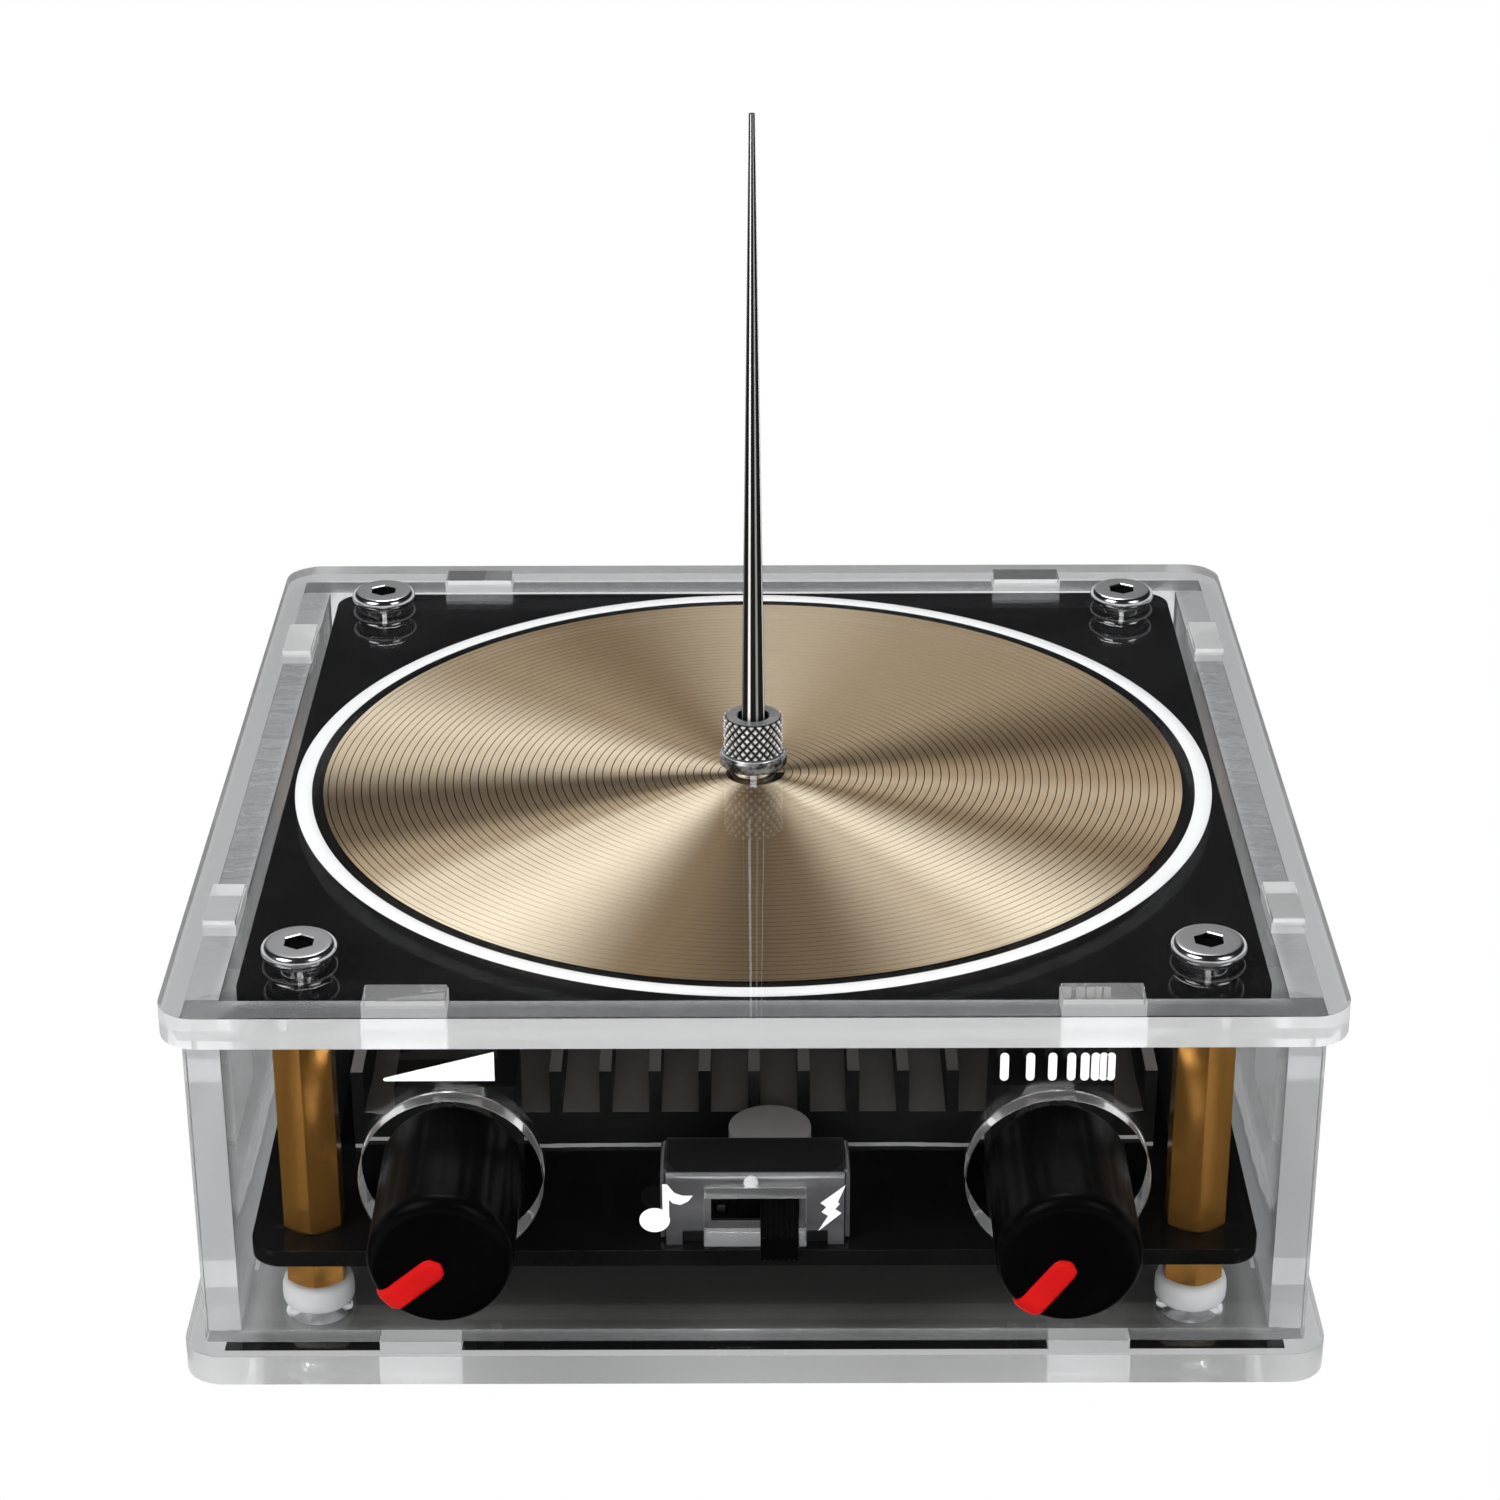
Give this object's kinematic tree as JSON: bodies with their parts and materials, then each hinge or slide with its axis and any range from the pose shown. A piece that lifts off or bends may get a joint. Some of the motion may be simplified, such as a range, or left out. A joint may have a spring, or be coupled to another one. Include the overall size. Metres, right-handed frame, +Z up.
{
  "type": "desktop resonant transformer",
  "caption": "Clear sheet case holding a driver board and a flat spiral coil board, with a discharge needle on top and two knobs and a slide switch at the front.",
  "frame": {"origin": "middle of the case's flat underside", "axes": "+Z up along the needle, -Y towards the control panel with the knobs, +X to the right of it"},
  "size_m": [0.1, 0.1098, 0.0997],
  "materials": {
    "clear_sheet": "clear polished acrylic sheet with sawn edges",
    "chrome_screw": "nickel-plated steel",
    "steel_screw": "zinc-plated steel",
    "brass": "turned brass",
    "white_nylon": "natural white nylon",
    "black_board": "glossy black solder mask on glass-fibre board",
    "gold_track": "gold-finished copper track",
    "copper_track": "copper track",
    "nickel_nut": "knurled nickel plating",
    "needle_steel": "polished dark steel",
    "black_anodised": "black anodised",
    "thermal_pad": "grey silicone pad",
    "black_plastic": "satin black moulding",
    "red_plastic": "red moulding",
    "housing_plastic": "black moulding",
    "shaft_metal": "turned aluminium",
    "bushing_metal": "plated zinc",
    "tinned_pin": "tinned metal",
    "switch_steel": "stamped steel",
    "aluminium_can": "drawn aluminium can",
    "capacitor_sleeve": "dark shrink sleeve on a can",
    "film_box": "potted plastic box",
    "package_black": "moulded package"
  },
  "bodies": {
    "case": {"bottom_plate": "clear_sheet", "top_plate": "clear_sheet", "front_panel": "clear_sheet", "back_panel": "clear_sheet", "left_panel": "clear_sheet", "right_panel": "clear_sheet", "top_screws": "chrome_screw", "bottom_screws": "steel_screw", "heat_sink_screws": "steel_screw", "long_standoffs": "brass", "short_standoffs": "brass", "terminal_post": "brass", "nylon_spacers": "white_nylon", "main_board": "black_board", "coil_board": "black_board", "secondary_coil": "gold_track", "primary_coil": "copper_track", "heat_sink": "black_anodised", "thermal_pad": "thermal_pad", "power_pot_body": "housing_plastic", "frequency_pot_body": "housing_plastic", "switch_base": "housing_plastic", "dc_socket": "housing_plastic", "audio_socket": "housing_plastic", "front_capacitor_base": "housing_plastic", "bulk_capacitor_bungs": "housing_plastic", "power_pot_bushing": "bushing_metal", "frequency_pot_bushing": "bushing_metal", "power_pot_pins": "tinned_pin", "frequency_pot_pins": "tinned_pin", "switch_pins": "tinned_pin", "dc_centre_pin": "tinned_pin", "switch_shell": "switch_steel", "front_capacitor": "aluminium_can", "bulk_capacitors": "capacitor_sleeve", "film_capacitors": "film_box", "power_transistors": "package_black", "driver_chips": "package_black"},
    "power_control": {"power_knob": "black_plastic", "power_knob_pointer": "red_plastic", "power_pot_shaft": "shaft_metal"},
    "frequency_control": {"frequency_knob": "black_plastic", "frequency_knob_pointer": "red_plastic", "frequency_pot_shaft": "shaft_metal"},
    "mode_lever": {"switch_lever": "housing_plastic"},
    "terminal_nut": {"knurled_nut": "nickel_nut"},
    "needle": {"discharge_needle": "needle_steel"}
  },
  "joints": [
    {"name": "power_knob_turn", "type": "hinge", "parent": "case", "child": "power_control", "pos_m": [-0.026, -0.05, 0.0193], "axis": [0, 1, 0], "range_deg": [-20, 280]},
    {"name": "frequency_knob_turn", "type": "hinge", "parent": "case", "child": "frequency_control", "pos_m": [0.026, -0.05, 0.0193], "axis": [0, 1, 0], "range_deg": [-7, 293]},
    {"name": "mode_switch_slide", "type": "slide", "parent": "case", "child": "mode_lever", "axis": [-1, 0, 0], "range_m": [0, 0.0042]},
    {"name": "terminal_nut_turn", "type": "hinge", "parent": "case", "child": "terminal_nut", "pos_m": [0, 0, 0.039], "axis": [0, 0, 1], "range_deg": [0, 1440]},
    {"name": "needle_lift", "type": "slide", "parent": "case", "child": "needle", "axis": [0, 0, 1], "range_m": [0, 0.012]}
  ]
}
